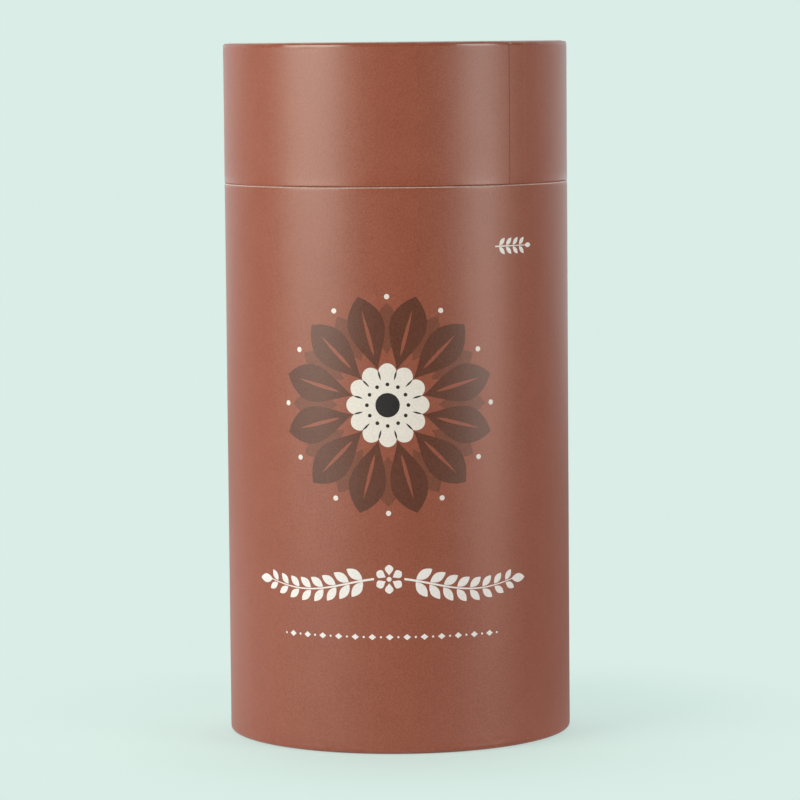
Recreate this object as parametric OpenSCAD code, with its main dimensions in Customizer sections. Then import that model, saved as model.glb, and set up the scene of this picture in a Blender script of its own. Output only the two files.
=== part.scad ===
// Cylindrical gift tube box with a neck and a flush pull-off lid.
// Greyboard tubes and discs, wrapped and lined in paper. The origin is the centre of the standing
// plane, +Z is up, and the printed front faces -Y.

/* [Overall] */

// Outside diameter of the wrapped tubes
outer_d = 174; // [120:1:220]
// Height from the standing plane to the top of the lid
total_h = 350; // [200:1:420]
// Height of the lid above the joint line
lid_h = 70.5; // [50:0.5:120]
// Air between the top of the neck and the ceiling of the lid
neck_headroom = 16; // [2:1:30]

/* [Boards] */

// Wall of the base tube
base_wall = 2; // [1.2:0.1:3]
// Wall of the lid tube
lid_wall = 1.7; // [1.2:0.1:3]
// Wall of the neck tube
neck_wall = 1.6; // [1:0.1:3]
// Thickness of the round board in the bottom of the base
base_disc_t = 2; // [1:0.1:4]
// Thickness of the round board in the top of the lid
lid_disc_t = 2; // [1:0.1:4]

/* [Papers] */

// Thickness of the printed, laminated wrap
wrap_t = 0.25; // [0.15:0.05:0.4]
// Thickness of the cover sheets under the base and on the lid
sheet_t = 0.3; // [0.25:0.05:0.5]
// Thickness of the cover paper of the neck
neck_paper_t = 0.15; // [0.1:0.05:0.3]
// Thickness of the lining papers, the floor sheet and the ceiling sheet
lining_t = 0.15; // [0.1:0.05:0.4]

/* [Folds] */

// Radius of the wrap's fold round the top edge of the lid
top_fold_r = 1.75; // [1:0.05:2]
// Radius of the wrap's fold round the bottom edge of the base
bottom_fold_r = 1.6; // [1:0.05:2]
// Radius of the wrap's folds at the joint line
rim_fold_r = 0.7; // [0.5:0.05:0.9]
// Radius of the neck paper's folds round the top of the neck
neck_fold_r = 0.7; // [0.4:0.05:0.8]
// Depth of the wrap's lips inside the rims
lip_len = 14; // [6:1:25]
// Depth of the neck paper's lip inside the neck
neck_lip_len = 16; // [6:1:25]
// How far the neck paper goes down behind the base's lip
neck_tuck = 8; // [2:1:12]

/* [Tabs and cover sheets] */

// Length of the tabs that the wrap is notched into
tab_len = 14; // [8:1:25]
// Number of tabs round an edge
tab_count = 40; // [24:1:60]
// Width of a notch at the ends of the tabs
notch_w = 2.6; // [1:0.1:4]
// Uncut paper between a fold and the points of the notches
notch_keep = 1; // [0.5:0.1:3]
// How far the cover sheets stay inside the ends of the folds
sheet_inset = 0.8; // [0.4:0.1:3]

/* [Seams] */

// Width of the wrap's overlap seams
wrap_overlap = 10; // [6:1:16]
// Width of the neck paper's overlap seam
neck_overlap = 8; // [5:1:14]
// How far an overlap's doubled sheet stops short of the folds, where it is pressed flat
overlap_end = 0.3; // [0.1:0.1:1]
// Place of the lid wrap's seam, in degrees to the right of the front
lid_seam_deg = 41.5; // [0:0.5:360]
// Place of the base wrap's seam, in degrees to the right of the front
base_seam_deg = 160; // [0:1:360]
// Place of the neck paper's seam, in degrees to the right of the front
neck_seam_deg = 150; // [0:1:360]
// Place of the butt seams in the linings, in degrees to the right of the front
lining_seam_deg = 195; // [0:1:360]
// Gap where the edges of a lining meet, and where a lining meets a lip
butt_gap = 0.4; // [0.2:0.1:1]

/* [Fits] */

// Glue line between papers and boards
glue_gap = 0.1; // [0.08:0.01:0.2]
// Running clearance between the lid's lip and the neck's overlap seam
lid_clearance = 0.4; // [0.3:0.05:1]

/* [Hidden] */

// Facets of the tubes and discs, and of the small folds
tube_fn = 180;
fold_fn = 32;
// Overrun of a cut past the surface it opens
cut = 1;
// Part of a wall that the folds round its edge may take
fold_share = 0.9;

// Radii from the outside in
outer_r = outer_d / 2;
board_r = outer_r - wrap_t - glue_gap;
base_bore_r = board_r - base_wall;
lid_bore_r = board_r - lid_wall;
base_lip_r = base_bore_r - glue_gap - wrap_t;
lid_lip_r = lid_bore_r - glue_gap - wrap_t;
neck_seam_r = min(base_lip_r - glue_gap, lid_lip_r - lid_clearance);
neck_wrap_r = neck_seam_r - neck_paper_t;
neck_r = neck_wrap_r - neck_paper_t - glue_gap;
neck_bore_r = neck_r - neck_wall;
neck_lip_r = neck_bore_r - glue_gap - neck_paper_t;

// Folds, held to the walls that they go round
thin_wall = min(base_wall, lid_wall);
top_r = min(top_fold_r, wrap_t + fold_share * lid_wall);
bottom_r = min(bottom_fold_r, wrap_t + fold_share * base_wall);
rim_r = min(rim_fold_r, wrap_t + fold_share * thin_wall / 2);
neck_edge_r = min(neck_fold_r, neck_paper_t + fold_share * neck_wall / 2);

// Levels from the standing plane up
rim_z = total_h - lid_h;
base_h = rim_z - sheet_t;
base_board_z = sheet_t + wrap_t;
base_floor_z = base_board_z + base_disc_t;
floor_z = base_floor_z + lining_t;
lid_wrap_top_z = total_h - sheet_t;
lid_wrap_h = lid_wrap_top_z - rim_z;
lid_board_top_z = lid_wrap_top_z - wrap_t;
lid_disc_z = lid_board_top_z - lid_disc_t;
ceiling_z = lid_disc_z - lining_t;
neck_top_z = ceiling_z - neck_headroom;

// Colours as the photograph shows them, and board and lining papers that it hides
print_colour = [0.66, 0.41, 0.33];
greyboard_colour = [0.56, 0.50, 0.43];
cream_colour = [0.93, 0.90, 0.83];

// Rectangle from (x0, z0) to (x1, z1) with a radius at three of its corners
module rounded_section(x0, x1, z0, z1, low_outer, high_outer, high_inner) {
    difference() {
        translate([x0, z0]) square([x1 - x0, z1 - z0]);
        translate([x1, z0]) mirror([1, 0]) corner_waste(low_outer);
        translate([x1, z1]) mirror([1, 0]) mirror([0, 1]) corner_waste(high_outer);
        translate([x0, z1]) mirror([0, 1]) corner_waste(high_inner);
    }
}

// What a radius takes off a corner at the origin of a section that lies in +x and +y
module corner_waste(r) {
    if (r > 0)
        difference() {
            translate([-cut, -cut]) square(r + cut);
            translate([r, r]) circle(r = r, $fn = fold_fn);
        }
}

// Turns a plan shape at +X to its place, in degrees to the right of the front
module at_front_angle(degrees) {
    rotate([0, 0, degrees - 90]) children();
}

// Section of a board tube inside its wrap, from the tab end at 0 up to the rim
module tube_section(wall, height, tab_fold_r) {
    rounded_section(
        board_r - wall, board_r, wrap_t, height - wrap_t,
        tab_fold_r - wrap_t, rim_r - wrap_t, rim_r - wrap_t
    );
}

// Section of a wrap: tabs at 0, round the fold, up the wall, over the rim and down its lip
module wrap_section(lip_r, height, tab_fold_r) {
    tab_end_r = outer_r - tab_fold_r - tab_len;
    difference() {
        union() {
            rounded_section(lip_r, outer_r, 0, height, tab_fold_r, rim_r, rim_r);
            translate([tab_end_r, 0]) square([outer_r - tab_fold_r - tab_end_r, wrap_t]);
        }
        rounded_section(
            lip_r + wrap_t, outer_r - wrap_t, wrap_t, height - wrap_t,
            tab_fold_r - wrap_t, rim_r - wrap_t, rim_r - wrap_t
        );
        translate([lip_r - cut, wrap_t]) square([wrap_t + 2 * cut, height - lip_len - wrap_t]);
    }
}

// V notches that turn the inner edge of the wrap into tabs
module tab_notches(tab_fold_r) {
    point_r = outer_r - tab_fold_r - notch_keep;
    end_r = outer_r - tab_fold_r - tab_len;
    mouth_r = end_r - cut;
    mouth_w = notch_w * (point_r - mouth_r) / (point_r - end_r);
    for (i = [0 : tab_count - 1])
        rotate([0, 0, (i + 0.5) * 360 / tab_count])
            polygon([[point_r, 0], [mouth_r, mouth_w / 2], [mouth_r, -mouth_w / 2]]);
}

// Plan of an overlap on a face at radius r: the doubled sheet, to the right of its cut edge at +X
module overlap_plan(r, paper_t, overlap) {
    lap_deg = overlap / r * 180 / PI;
    reach = 2 * r;
    intersection() {
        difference() {
            circle(r = r + paper_t, $fn = tube_fn);
            circle(r = r - paper_t / 2, $fn = tube_fn);
        }
        polygon([[0, 0], [reach, 0], reach * [cos(lap_deg), sin(lap_deg)]]);
    }
}

// A whole wrap standing on its tabs at 0, with its rim at the top
module wrap(lip_r, height, tab_fold_r, seam_deg) {
    difference() {
        rotate_extrude($fn = tube_fn) wrap_section(lip_r, height, tab_fold_r);
        translate([0, 0, -cut]) linear_extrude(wrap_t + 2 * cut) tab_notches(tab_fold_r);
    }
    at_front_angle(seam_deg)
        translate([0, 0, tab_fold_r + overlap_end])
            linear_extrude(height - tab_fold_r - rim_r - 2 * overlap_end)
                overlap_plan(outer_r, wrap_t, wrap_overlap);
}

// A round board or sheet with its lower face at z
module disc(r, z, thickness) {
    translate([0, 0, z]) cylinder(r = r, h = thickness, $fn = tube_fn);
}

// A lining rolled into a tube until its edges meet
module lining(r, z0, z1) {
    difference() {
        translate([0, 0, z0])
            linear_extrude(z1 - z0)
                difference() {
                    circle(r = r, $fn = tube_fn);
                    circle(r = r - lining_t, $fn = tube_fn);
                }
        at_front_angle(lining_seam_deg)
            translate([r - lining_t - cut, -butt_gap / 2, z0 - cut])
                cube([lining_t + 2 * cut, butt_gap, z1 - z0 + 2 * cut]);
    }
}

module base_tube() {
    color(greyboard_colour)
        translate([0, 0, sheet_t])
            rotate_extrude($fn = tube_fn) tube_section(base_wall, base_h, bottom_r);
}

module base_wrap() {
    color(print_colour)
        translate([0, 0, sheet_t]) wrap(base_lip_r, base_h, bottom_r, base_seam_deg);
}

module base_disc() {
    color(greyboard_colour) disc(base_bore_r - glue_gap, base_board_z, base_disc_t);
}

module base_sheet() {
    color(print_colour) disc(outer_r - bottom_r - sheet_inset, 0, sheet_t);
}

// The neck tube stands on the bottom board, with both top edges eased under the neck paper
module neck_tube() {
    edge_r = neck_edge_r - neck_paper_t;
    color(greyboard_colour)
        rotate_extrude($fn = tube_fn)
            rounded_section(
                neck_bore_r, neck_r, base_floor_z, neck_top_z - neck_paper_t, 0, edge_r, edge_r
            );
}

// Cover paper of the neck: up the outside from behind the base's lip, over the top and down inside
module neck_wrap() {
    foot_z = rim_z - neck_tuck;
    space_r = neck_edge_r - neck_paper_t;
    color(cream_colour) {
        rotate_extrude($fn = tube_fn)
            difference() {
                rounded_section(
                    neck_lip_r, neck_wrap_r, foot_z, neck_top_z, 0, neck_edge_r, neck_edge_r
                );
                rounded_section(
                    neck_lip_r + neck_paper_t, neck_wrap_r - neck_paper_t,
                    foot_z - cut, neck_top_z - neck_paper_t, 0, space_r, space_r
                );
                translate([neck_lip_r - cut, foot_z - cut])
                    square([neck_paper_t + 2 * cut, neck_top_z - neck_lip_len - foot_z + cut]);
            }
        at_front_angle(neck_seam_deg)
            translate([0, 0, foot_z + overlap_end])
                linear_extrude(neck_top_z - neck_edge_r - foot_z - 2 * overlap_end)
                    overlap_plan(neck_wrap_r, neck_paper_t, neck_overlap);
    }
}

module base_lining() {
    color(cream_colour)
        lining(neck_bore_r - glue_gap, floor_z, neck_top_z - neck_lip_len - butt_gap);
}

module floor_sheet() {
    color(cream_colour) disc(neck_bore_r - glue_gap, base_floor_z, lining_t);
}

module lid_tube() {
    color(greyboard_colour)
        translate([0, 0, lid_wrap_top_z])
            mirror([0, 0, 1])
                rotate_extrude($fn = tube_fn) tube_section(lid_wall, lid_wrap_h, top_r);
}

module lid_wrap() {
    color(print_colour)
        translate([0, 0, lid_wrap_top_z])
            mirror([0, 0, 1]) wrap(lid_lip_r, lid_wrap_h, top_r, lid_seam_deg);
}

module lid_disc() {
    color(greyboard_colour) disc(lid_bore_r - glue_gap, lid_disc_z, lid_disc_t);
}

module lid_sheet() {
    color(print_colour) disc(outer_r - top_r - sheet_inset, lid_wrap_top_z, sheet_t);
}

module lid_lining() {
    color(cream_colour) lining(lid_bore_r - glue_gap, rim_z + lip_len + butt_gap, ceiling_z);
}

module ceiling_sheet() {
    color(cream_colour) disc(lid_bore_r - glue_gap, ceiling_z, lining_t);
}

base_tube();
base_wrap();
base_disc();
base_sheet();
neck_tube();
neck_wrap();
base_lining();
floor_sheet();
lid_tube();
lid_wrap();
lid_disc();
lid_sheet();
lid_lining();
ceiling_sheet();
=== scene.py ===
import math
from types import SimpleNamespace

import bmesh
import bpy
import numpy as np
from mathutils import Matrix, Vector, geometry, noise


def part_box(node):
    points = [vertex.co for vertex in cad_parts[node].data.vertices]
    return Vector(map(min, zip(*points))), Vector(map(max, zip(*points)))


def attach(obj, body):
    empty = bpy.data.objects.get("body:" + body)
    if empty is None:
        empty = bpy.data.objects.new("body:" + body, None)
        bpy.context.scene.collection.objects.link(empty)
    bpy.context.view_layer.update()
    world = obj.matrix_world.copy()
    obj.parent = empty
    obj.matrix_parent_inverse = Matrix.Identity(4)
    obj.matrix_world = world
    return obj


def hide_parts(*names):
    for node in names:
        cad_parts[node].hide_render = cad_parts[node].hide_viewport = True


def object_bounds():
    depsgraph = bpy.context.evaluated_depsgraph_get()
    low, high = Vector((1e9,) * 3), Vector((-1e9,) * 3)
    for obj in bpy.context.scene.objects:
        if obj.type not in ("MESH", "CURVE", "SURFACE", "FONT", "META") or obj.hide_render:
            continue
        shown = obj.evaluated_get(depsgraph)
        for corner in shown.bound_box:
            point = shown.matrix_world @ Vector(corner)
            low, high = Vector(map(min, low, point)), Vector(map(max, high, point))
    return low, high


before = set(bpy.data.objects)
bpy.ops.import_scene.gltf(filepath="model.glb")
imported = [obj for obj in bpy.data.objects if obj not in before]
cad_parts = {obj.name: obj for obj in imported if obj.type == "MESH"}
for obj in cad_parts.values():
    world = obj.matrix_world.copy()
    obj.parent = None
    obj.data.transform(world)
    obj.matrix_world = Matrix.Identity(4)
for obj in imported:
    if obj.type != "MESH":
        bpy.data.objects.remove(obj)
CAD_LOW, CAD_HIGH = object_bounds()
MM = 0.001
FULL_TURN = 2 * math.pi

# Camera, fitted to the object's outline in the photograph: place in metres, angles in degrees
FRAME_PX = 800
SENSOR_MM = 36.0
FOCAL_PX = 4018.0
CAMERA_AT = (0.24 * MM, -2043.3 * MM, 350.0 * MM)
CAMERA_YAW = 0.025
CAMERA_DOWN = 5.096
CAMERA_ROLL = -0.501
CLIP_START = 0.05
CLIP_END = 50


def place_camera():
    """The camera at the photograph's viewing angle."""
    yaw, down, roll = (math.radians(a) for a in (CAMERA_YAW, CAMERA_DOWN, CAMERA_ROLL))
    forward = Vector((math.sin(yaw) * math.cos(down), math.cos(yaw) * math.cos(down), -math.sin(down)))
    level = Vector((math.cos(yaw), -math.sin(yaw), 0))
    upright = level.cross(forward)
    right = math.cos(roll) * level + math.sin(roll) * upright
    up = math.cos(roll) * upright - math.sin(roll) * level
    data = bpy.data.cameras.new("camera")
    data.sensor_width = SENSOR_MM
    data.lens = FOCAL_PX / FRAME_PX * SENSOR_MM
    data.clip_start = CLIP_START
    data.clip_end = CLIP_END
    camera = bpy.data.objects.new("camera", data)
    camera.matrix_world = Matrix((
        (right.x, up.x, -forward.x, CAMERA_AT[0]),
        (right.y, up.y, -forward.y, CAMERA_AT[1]),
        (right.z, up.z, -forward.z, CAMERA_AT[2]),
        (0, 0, 0, 1),
    ))
    bpy.context.collection.objects.link(camera)
    bpy.context.scene.camera = camera


place_camera()

# Radii and levels, the first ones taken from the solids
OUTER_R = CAD_HIGH[0]
RIM_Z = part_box("lid_wrap")[0][2]
SHEET_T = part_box("base_sheet")[1][2]
LID_SHEET_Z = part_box("lid_sheet")[0][2]
NECK_FOOT_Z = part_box("neck_wrap")[0][2]
NECK_TOP_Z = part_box("neck_wrap")[1][2]
NECK_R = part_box("neck_wrap")[1][0]
WRAP_T = 0.25 * MM
LINING_T = 0.15 * MM
BASE_WALL = 2.0 * MM
LID_WALL = 1.7 * MM
NECK_WALL = 1.6 * MM
GLUE_GAP = 0.1 * MM
BASE_LIP_R = OUTER_R - 2 * WRAP_T - 2 * GLUE_GAP - BASE_WALL
LID_LIP_R = OUTER_R - 2 * WRAP_T - 2 * GLUE_GAP - LID_WALL
NECK_LIP_R = NECK_R - 2 * LINING_T - 2 * GLUE_GAP - NECK_WALL

# The dressed wraps keep this far inside the solids, so that the ink on them stays inside too
INK_ROOM = 0.05 * MM
WRAP_R = OUTER_R - INK_ROOM

# Folds, lips and tabs
TOP_FOLD_R = 1.3 * MM
BOTTOM_FOLD_R = 1.6 * MM
RIM_FOLD_R = 0.7 * MM
NECK_FOLD_R = 0.7 * MM
LIP_LEN = 14 * MM
NECK_LIP_LEN = 16 * MM
TAB_LEN = 14 * MM
TAB_COUNT = 40
TAB_W = FULL_TURN / TAB_COUNT
NOTCH_W = 2.6 * MM
NOTCH_KEEP = 1.0 * MM
BUTT_GAP = 0.4 * MM

# Seams: places in degrees to the right of the front, widths, and how far a doubled edge stands out
LID_SEAM_DEG = 40.2
BASE_SEAM_DEG = 160.0
NECK_SEAM_DEG = 150.0
LINING_SEAM_DEG = 195.0
WRAP_OVERLAP = 10 * MM
NECK_OVERLAP = 8 * MM
OVERLAP_RAMP = 1.2 * MM
OVERLAP_RISE = 0.16 * MM
NECK_RISE = 0.8 * LINING_T
SEAM_FADE = 0.6
SEAM_SHADE_W = 0.6 * MM
CUT_W = 0.03 * MM

# Mesh fineness: columns for each tab, steps round a fold, and the length of a step along the section
TAB_COLUMNS = 10
EVEN_COLUMNS = TAB_COUNT * TAB_COLUMNS
COLUMN_ROOM = 0.3
FOLD_STEPS = 10
WALL_STEP = 10 * MM
TAB_STEP = 3.5 * MM
LIP_STEP = 4 * MM
NECK_STEP = 3 * MM
NECK_BACK_STEP = 8 * MM
GATHERED_H = 6 * MM
GATHERED_STEP = 0.5 * MM
FINE_RIM_H = 4 * MM
FINE_RIM_STEP = 1 * MM
SHARP_DEG = 35


def linear(red, green, blue):
    """A colour written as 0 to 255 sRGB, as the linear colour that Blender takes."""
    return tuple(
        c / 12.92 if c <= 0.04045 else ((c + 0.055) / 1.055) ** 2.4
        for c in (red / 255, green / 255, blue / 255)
    )


TERRACOTTA = linear(144, 80, 60)
DARK_BROWN = linear(93, 52, 36)
MID_BROWN = linear(117, 67, 49)
INK_BLACK = linear(36, 33, 33)
CREAM_INK = linear(223, 218, 211)
WHITE_INK = linear(229, 227, 225)
PAPER_CORE = linear(230, 207, 197)
# Painted shade: the seam's cut edge is brown instead of its pale core
SHADED_SEAM_BROWN = linear(150, 105, 88)
LINING_CREAM = linear(221, 213, 197)
GREYBOARD = linear(143, 128, 110)
MINT = linear(218, 237, 231)
BASE_TONE = 0.975
GAMMA = 2.2


def scaled(colour, factor):
    """A colour made darker or paler."""
    return tuple(min(1.0, c * factor) for c in colour)


def shifted(colour, levels):
    """A colour with the same number of sRGB levels added to every channel."""
    return tuple(max(0, c ** (1 / GAMMA) + levels / 255) ** GAMMA for c in colour)


class Nodes:
    """Short calls for making the nodes of a material or a world."""

    def __init__(self, owner, output="ShaderNodeOutputMaterial"):
        owner.use_nodes = True
        self.owner = owner
        self.tree = owner.node_tree
        self.tree.nodes.clear()
        self.out = self.add(output)

    def add(self, kind, **inputs):
        node = self.tree.nodes.new(kind)
        for name, value in inputs.items():
            self.set(node, name.replace("_", " "), value)
        return node

    def set(self, node, socket, value):
        target = node.inputs[socket]
        if isinstance(value, bpy.types.NodeSocket):
            self.tree.links.new(value, target)
        else:
            target.default_value = value

    def math(self, operation, a, b):
        node = self.add("ShaderNodeMath")
        node.operation = operation
        self.set(node, 0, a)
        self.set(node, 1, b)
        return node.outputs[0]

    def weighted(self, a, share_a, b, share_b):
        return self.math("ADD", self.math("MULTIPLY", a, share_a), self.math("MULTIPLY", b, share_b))

    def line(self, value, slope, start):
        return self.math("ADD", self.math("MULTIPLY", value, slope), start)

    def mix(self, factor, a, b):
        node = self.add("ShaderNodeMix")
        node.data_type = "RGBA"
        for socket, value in ((0, factor), (6, a), (7, b)):
            self.set(node, socket, (*value, 1.0) if isinstance(value, tuple) else value)
        return node.outputs[2]

    def ramp(self, value, low, high, to_low=0.0, to_high=1.0):
        node = self.add("ShaderNodeMapRange", Value=value, From_Min=low, From_Max=high)
        node.interpolation_type = "SMOOTHSTEP"
        self.set(node, "To Min", to_low)
        self.set(node, "To Max", to_high)
        return node.outputs[0]

    def blend(self, factor, a, b):
        node = self.add("ShaderNodeMixShader")
        for socket, value in ((0, factor), (1, a.outputs[0]), (2, b.outputs[0])):
            self.set(node, socket, value)
        return node

    def place(self):
        return self.add("ShaderNodeTexCoord").outputs["Object"]

    def noise(self, vector, scale, detail, rough):
        node = self.add("ShaderNodeTexNoise", Scale=scale, Detail=detail, Roughness=rough, Vector=vector)
        return node.outputs["Fac"]

    def attribute(self, name):
        node = self.add("ShaderNodeAttribute")
        node.attribute_name = name
        return node.outputs["Fac"]

    def glow(self, colour, strength=1.0):
        return self.add("ShaderNodeEmission", Color=(*colour, 1), Strength=strength)

    def surface(self, colour, roughness, height, depth, strength):
        """Ends a paper or board: its colour, its roughness and its relief from a height."""
        shader = self.add("ShaderNodeBsdfPrincipled", Base_Color=colour, Roughness=roughness)
        bump = self.add("ShaderNodeBump", Strength=strength, Distance=depth, Height=height)
        self.set(shader, "Normal", bump.outputs[0])
        self.set(self.out, "Surface", shader.outputs[0])
        return self.owner


# Laminated paper: noises per metre, sRGB levels that its tooth adds or takes, and the film's gloss
GRAIN_SCALE = 1200
PEBBLE_SCALE = 480
MOTTLE_SCALE = 70
PATCH_SCALE = 900
TOOTH_LEVELS = 7
MOTTLE_SHARE = 0.2
SOLID_WEAR = 0.55
# How dark the painted shade makes the print
SHADE_DEPTH = 0.3
FILM_ROUGHNESS = 0.38
GRAIN_ROUGHNESS = 0.08
POLISH_GAIN = 0.22
GRAIN_RELIEF = 0.35


def laminated_paper(name, colour, folds=True):
    """Printed art paper under matt film: fine tooth, faint mottle, pale wear, painted shade, rubbed folds.
    """
    n = Nodes(bpy.data.materials.new(name))
    place = n.place()
    grain = n.noise(place, GRAIN_SCALE, 2, 0.6)
    pebble = n.noise(place, PEBBLE_SCALE, 2, 0.5)
    mottle = n.ramp(n.noise(place, MOTTLE_SCALE, 3, 0.6), 0.3, 0.7)
    speckle = n.ramp(grain, 0.3, 0.7)
    tone = n.weighted(mottle, MOTTLE_SHARE, speckle, 1 - MOTTLE_SHARE)
    base = n.mix(tone, shifted(colour, -TOOTH_LEVELS), shifted(colour, TOOTH_LEVELS))
    roughness = n.line(grain, GRAIN_ROUGHNESS, FILM_ROUGHNESS)
    if folds:
        patches = n.ramp(n.noise(place, PATCH_SCALE, 3, 0.65), 0.35, 0.65)
        share = n.line(patches, 1 - SOLID_WEAR, SOLID_WEAR)
        base = n.mix(n.math("MULTIPLY", n.attribute("fold_wear"), share), base, PAPER_CORE)
        # Painted shade darkens the print along the seam, under the lid's rim and next to the cover sheet
        base = n.mix(n.attribute("edge_shade"), base, scaled(colour, SHADE_DEPTH))
        polish = n.math("MULTIPLY", n.attribute("fold_polish"), POLISH_GAIN)
        roughness = n.math("SUBTRACT", roughness, polish)
    height = n.weighted(grain, GRAIN_RELIEF, pebble, 1 - GRAIN_RELIEF)
    return n.surface(base, roughness, height, 0.08 * MM, 0.35)


def uncoated_paper(name, colour):
    """Uncoated paper with fibres and a faint cloudiness."""
    n = Nodes(bpy.data.materials.new(name))
    place = n.place()
    fibre = n.noise(place, 900, 4, 0.65)
    cloud = n.ramp(n.noise(place, 45, 3, 0.5), 0.3, 0.7)
    base = n.mix(cloud, scaled(colour, 0.95), colour)
    base = n.mix(n.math("MULTIPLY", n.ramp(fibre, 0.55, 0.75), 0.12), base, scaled(colour, 0.7))
    return n.surface(base, 0.82, fibre, 0.06 * MM, 0.25)


def wound_board(name):
    """Wound recycled board: grey-brown pulp with flecks."""
    n = Nodes(bpy.data.materials.new(name))
    place = n.place()
    pulp = n.noise(place, 300, 4, 0.6)
    flecks = n.ramp(n.noise(place, 1100, 2, 0.5), 0.62, 0.72)
    base = n.mix(n.ramp(pulp, 0.3, 0.7), scaled(GREYBOARD, 0.85), scaled(GREYBOARD, 1.1))
    base = n.mix(n.math("MULTIPLY", flecks, 0.5), base, scaled(GREYBOARD, 0.4))
    return n.surface(base, 0.9, pulp, 0.1 * MM, 0.4)


PRINTED = laminated_paper("printed_wrap", TERRACOTTA)
PRINTED_BASE = laminated_paper("printed_wrap_base", scaled(TERRACOTTA, BASE_TONE))
CUT_EDGE = uncoated_paper("paper_cut_edge", PAPER_CORE)
# The seam's cut edge, brown as painted shade instead of its pale core
SHADED_SEAM_EDGE = uncoated_paper("paper_seam_edge_shaded", SHADED_SEAM_BROWN)
LINING = uncoated_paper("lining_paper", LINING_CREAM)
BOARD = wound_board("greyboard")


def front_angle(degrees):
    """Plan angle, in radians, of a place given in degrees to the right of the front."""
    return math.radians(degrees - 90)


def arc(centre, radius, start, end):
    """Points of a section's arc, from start to end in degrees, 0 pointing outward and 90 up."""
    return [
        (centre[0] + radius * math.cos(math.radians(a)), centre[1] + radius * math.sin(math.radians(a)))
        for a in np.linspace(start, end, FOLD_STEPS + 1)
    ]


def line(a, b, step):
    """Points from a to b, both included, no further apart than step."""
    count = max(1, math.ceil(math.dist(a, b) / step))
    return [tuple(np.add(a, np.multiply(np.subtract(b, a), i / count))) for i in range(count + 1)]


def joined(*runs):
    """Runs of section points as one run, without the points that repeat where they meet."""
    points = []
    for run in runs:
        for p in run:
            if not points or math.dist(p, points[-1]) > 1e-7:
                points.append(p)
    return points


def smooth(x):
    """Smooth step from 0 to 1."""
    x = np.clip(x, 0, 1)
    return x * x * (3 - 2 * x)


def bell(x, centre, width):
    """A smooth bump of height 1 round a centre."""
    return np.exp(-((x - centre) / width) ** 2)


def wavy(x, y, z, seed):
    """Smooth noise at many points at once, from -1 to 1."""
    x, y, z = np.broadcast_arrays(x, y, z)
    flat = zip(x.ravel(), y.ravel(), z.ravel())
    return np.array([noise.noise(Vector((a + seed, b, c))) for a, b, c in flat]).reshape(x.shape)


def spread(section, columns):
    """Radius and height of every vertex of a section repeated in every column."""
    return np.repeat(section[:, :1], columns, 1), np.repeat(section[:, 1:], columns, 1)


def turned_points(r, a, z):
    """Vertices from radii, plan angles and heights."""
    return np.stack((r * np.cos(a), r * np.sin(a), z), axis=2)


def add_piece(name, body, replaced, vertices, faces, materials, face_material=None, values=None):
    """A closed mesh piece with outward faces, smooth but for its sharp edges."""
    mesh = bpy.data.meshes.new(name)
    mesh.from_pydata([tuple(v) for v in vertices], [], [tuple(int(i) for i in f) for f in faces])
    for m in materials:
        mesh.materials.append(m)
    if face_material is not None:
        mesh.polygons.foreach_set("material_index", np.asarray(face_material, dtype=np.int32))
    for layer_name, layer_values in (values or {}).items():
        layer = mesh.attributes.new(layer_name, "FLOAT", "POINT")
        layer.data.foreach_set("value", np.asarray(layer_values, dtype=np.float32))
    work = bmesh.new()
    work.from_mesh(mesh)
    bmesh.ops.recalc_face_normals(work, faces=work.faces)
    work.to_mesh(mesh)
    work.free()
    mesh.polygons.foreach_set("use_smooth", np.ones(len(mesh.polygons), dtype=bool))
    mesh.set_sharp_from_angle(angle=math.radians(SHARP_DEG))
    mesh.update()
    obj = bpy.data.objects.new(name, mesh)
    bpy.context.collection.objects.link(obj)
    if replaced:
        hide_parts(replaced)
    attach(obj, body)


def with_extra(angles, extras):
    """Sorted plan angles with extra ones put in, where the even ones too near to them give way."""
    room = COLUMN_ROOM * TAB_W / TAB_COLUMNS
    kept = [a for a in angles if all(abs((a - e + math.pi) % FULL_TURN - math.pi) > room for e in extras)]
    return np.array(sorted([a % FULL_TURN for a in kept] + [e % FULL_TURN for e in extras]))


def seam_angles(seam, radius, overlap):
    """Plan angles of the columns that draw an overlap seam: shade, cut edge, doubled sheet, ramp."""
    reach = (
        -2 * SEAM_SHADE_W, -SEAM_SHADE_W, -CUT_W / 2, CUT_W / 2, SEAM_SHADE_W,
        overlap, overlap + OVERLAP_RAMP / 2, overlap + OVERLAP_RAMP,
    )
    return [seam + x / radius for x in reach]


def from_seam(angles, seam, radius):
    """Distance round the face from a seam, positive to its right."""
    return ((angles - seam + math.pi) % FULL_TURN - math.pi) * radius


def overlap_lift(along, overlap, rise):
    """How far a face stands out where its paper is doubled."""
    doubled = (along > 0) & (along < overlap + OVERLAP_RAMP)
    return np.where(doubled, rise * smooth((overlap + OVERLAP_RAMP - along) / OVERLAP_RAMP), 0)


def seam_fade(z, top, fold_r):
    """How much of a doubled seam still stands out near the fold at its top, which presses it flat."""
    return smooth((top - fold_r * SEAM_FADE / 2 - z) / (fold_r * SEAM_FADE))


# The two printed wraps. The base's stands on its tabs, and the lid's hangs from them, rim down
BASE_WRAP = SimpleNamespace(
    piece="base_wrap_paper", node="base_wrap", body="base", paper=PRINTED_BASE, seed=3.1, is_lid=False,
    lip_r=BASE_LIP_R, height=RIM_Z - SHEET_T, fold_r=BOTTOM_FOLD_R, tabs_z=SHEET_T,
    seam_deg=BASE_SEAM_DEG, rim_wear=0.8, rim_shade=0.0,
)
LID_WRAP = SimpleNamespace(
    piece="lid_wrap_paper", node="lid_wrap", body="lid", paper=PRINTED, seed=7.7, is_lid=True,
    lip_r=LID_LIP_R, height=LID_SHEET_Z - RIM_Z, fold_r=TOP_FOLD_R, tabs_z=LID_SHEET_Z,
    seam_deg=LID_SEAM_DEG, rim_wear=0.0, rim_shade=0.6,
)

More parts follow.
